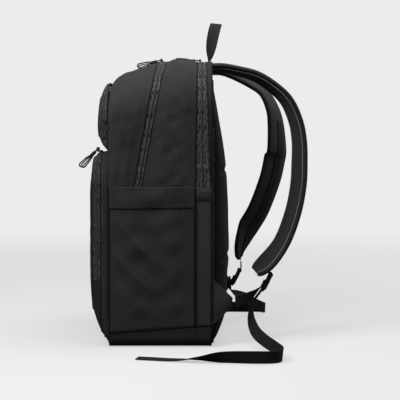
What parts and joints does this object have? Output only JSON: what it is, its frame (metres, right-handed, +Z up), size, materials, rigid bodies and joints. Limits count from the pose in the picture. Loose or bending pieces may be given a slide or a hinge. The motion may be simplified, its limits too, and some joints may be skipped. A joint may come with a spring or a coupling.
{
  "type": "school backpack",
  "caption": "Upright school backpack with zipped main, laptop and front pockets, side pockets, padded back, curved shoulder straps and a grab handle.",
  "frame": {"origin": "on the floor, in the middle of the flat base of the main compartments", "axes": "+Z up; -Y is the bag's front with its pockets; +Y is the padded back and the straps; +X is the wearer's right-hand side"},
  "size_m": [0.492, 0.3878, 0.5461],
  "materials": {
    "body_fabric": "woven polyester, matt with a faint sheen",
    "base_fabric": "coated woven polyester, matt",
    "lining": "thin plain-woven lining",
    "spacer_mesh": "knitted spacer mesh over foam",
    "foam": "closed-cell foam",
    "stiffener": "smooth sheet plastic",
    "zipper_tape": "herringbone woven tape",
    "zipper_coil": "moulded nylon coil",
    "webbing": "close woven nylon webbing",
    "buckle": "moulded acetal",
    "slider": "black enamelled zinc",
    "zipper_pull": "cord loop with a moulded grip"
  },
  "bodies": {
    "bag": {"main_gusset": "body_fabric", "front_wall": "body_fabric", "bottom_panel": "base_fabric", "back_panel": "lining", "laptop_gusset": "body_fabric", "laptop_divider": "lining", "frame_sheet": "stiffener", "base_board": "stiffener", "back_foam": "foam", "back_mesh": "spacer_mesh", "main_zipper_tape": "zipper_tape", "main_zipper_coil": "zipper_coil", "laptop_zipper_tape": "zipper_tape", "laptop_zipper_coil": "zipper_coil", "zipper_garages": "body_fabric", "side_pocket_right": "body_fabric", "side_pocket_left": "body_fabric", "side_hem_right": "body_fabric", "side_hem_left": "body_fabric", "front_pocket_gusset": "body_fabric", "front_pocket_base": "base_fabric", "front_pocket_tape": "zipper_tape", "front_pocket_coil": "zipper_coil", "shoulder_strap_right": "spacer_mesh", "shoulder_strap_left": "spacer_mesh", "strap_webbing_right": "webbing", "strap_webbing_left": "webbing", "corner_tab_right": "base_fabric", "corner_tab_left": "base_fabric", "lower_webbing_right": "webbing", "lower_webbing_left": "webbing", "webbing_tail_right": "webbing", "webbing_tail_left": "webbing"},
    "front_lid": {"front_lid": "body_fabric", "lid_zipper_tape": "zipper_tape", "upper_pocket_gusset": "body_fabric", "upper_pocket_tape": "zipper_tape", "upper_pocket_coil": "zipper_coil", "upper_pocket_panel": "body_fabric"},
    "front_flap": {"front_flap": "body_fabric", "flap_zipper_tape": "zipper_tape"},
    "grab_handle": {"grab_handle": "webbing"},
    "lock_right": {"ladder_lock_right": "buckle", "lock_wrap_right": "webbing"},
    "lock_left": {"ladder_lock_left": "buckle", "lock_wrap_left": "webbing"},
    "main_slider_right": {"main_slider_right": "slider"},
    "main_slider_left": {"main_slider_left": "slider"},
    "laptop_slider": {"laptop_slider": "slider"},
    "pocket_slider_right": {"pocket_slider_right": "slider"},
    "pocket_slider_left": {"pocket_slider_left": "slider"},
    "upper_slider": {"upper_slider": "slider"},
    "main_pull_right": {"main_pull_right": "zipper_pull"},
    "main_pull_left": {"main_pull_left": "zipper_pull"},
    "laptop_pull": {"laptop_pull": "zipper_pull"},
    "pocket_pull_right": {"pocket_pull_right": "zipper_pull"},
    "pocket_pull_left": {"pocket_pull_left": "zipper_pull"},
    "upper_pull": {"upper_pull": "zipper_pull"}
  },
  "joints": [
    {"name": "lid_fold", "type": "hinge", "parent": "bag", "child": "front_lid", "pos_m": [0, -0.085, 0.322], "axis": [1, 0, 0], "range_deg": [0, 35]},
    {"name": "flap_fold", "type": "hinge", "parent": "bag", "child": "front_flap", "pos_m": [0, -0.1205, 0.111], "axis": [1, 0, 0], "range_deg": [0, 35]},
    {"name": "handle_swing", "type": "hinge", "parent": "bag", "child": "grab_handle", "pos_m": [0, 0.082, 0.47495], "axis": [1, 0, 0], "range_deg": [-55, 55], "stiffness_Nm_per_rad": 0.08},
    {"name": "lock_tilt_right", "type": "hinge", "parent": "bag", "child": "lock_right", "pos_m": [0.08, 0.186, 0.113], "axis": [1, 0, 0], "range_deg": [0, 20]},
    {"name": "lock_tilt_left", "type": "hinge", "parent": "bag", "child": "lock_left", "pos_m": [-0.098, 0.1394, 0.098], "axis": [1, 0, 0], "range_deg": [0, 20]},
    {"name": "main_slide_right", "type": "slide", "parent": "front_lid", "child": "main_slider_right", "axis": [1, 0, 0], "range_m": [0, 0.04]},
    {"name": "main_slide_left", "type": "slide", "parent": "front_lid", "child": "main_slider_left", "axis": [-1, 0, 0], "range_m": [0, 0.04]},
    {"name": "laptop_slide", "type": "slide", "parent": "bag", "child": "laptop_slider", "axis": [1, 0, 0], "range_m": [-0.045, 0.045]},
    {"name": "pocket_slide_right", "type": "slide", "parent": "front_flap", "child": "pocket_slider_right", "axis": [1, 0, 0], "range_m": [0, 0.005]},
    {"name": "pocket_slide_left", "type": "slide", "parent": "front_flap", "child": "pocket_slider_left", "axis": [-1, 0, 0], "range_m": [0, 0.1]},
    {"name": "upper_slide", "type": "slide", "parent": "front_lid", "child": "upper_slider", "axis": [0, 0, 1], "range_m": [-0.03, 0.03]},
    {"name": "main_pull_right_turn", "type": "hinge", "parent": "main_slider_right", "child": "main_pull_right", "pos_m": [0.02, -0.0016, 0.4805], "axis": [-1, 0, 0], "range_deg": [0, 120]},
    {"name": "main_pull_left_turn", "type": "hinge", "parent": "main_slider_left", "child": "main_pull_left", "pos_m": [-0.02, -0.0016, 0.4805], "axis": [-1, 0, 0], "range_deg": [0, 120]},
    {"name": "laptop_pull_turn", "type": "hinge", "parent": "laptop_slider", "child": "laptop_pull", "pos_m": [0.004, 0.0654, 0.4805], "axis": [-1, 0, 0], "range_deg": [0, 120]},
    {"name": "pocket_pull_right_turn", "type": "hinge", "parent": "pocket_slider_right", "child": "pocket_pull_right", "pos_m": [0.069, -0.1086, 0.3272], "axis": [-1, 0, 0], "range_deg": [0, 100]},
    {"name": "pocket_pull_left_turn", "type": "hinge", "parent": "pocket_slider_left", "child": "pocket_pull_left", "pos_m": [0.051, -0.1086, 0.3272], "axis": [-1, 0, 0], "range_deg": [0, 100]},
    {"name": "upper_pull_turn", "type": "hinge", "parent": "upper_slider", "child": "upper_pull", "pos_m": [-0.1382, -0.094, 0.3734], "axis": [0, 1, 0], "range_deg": [0, 100]}
  ]
}
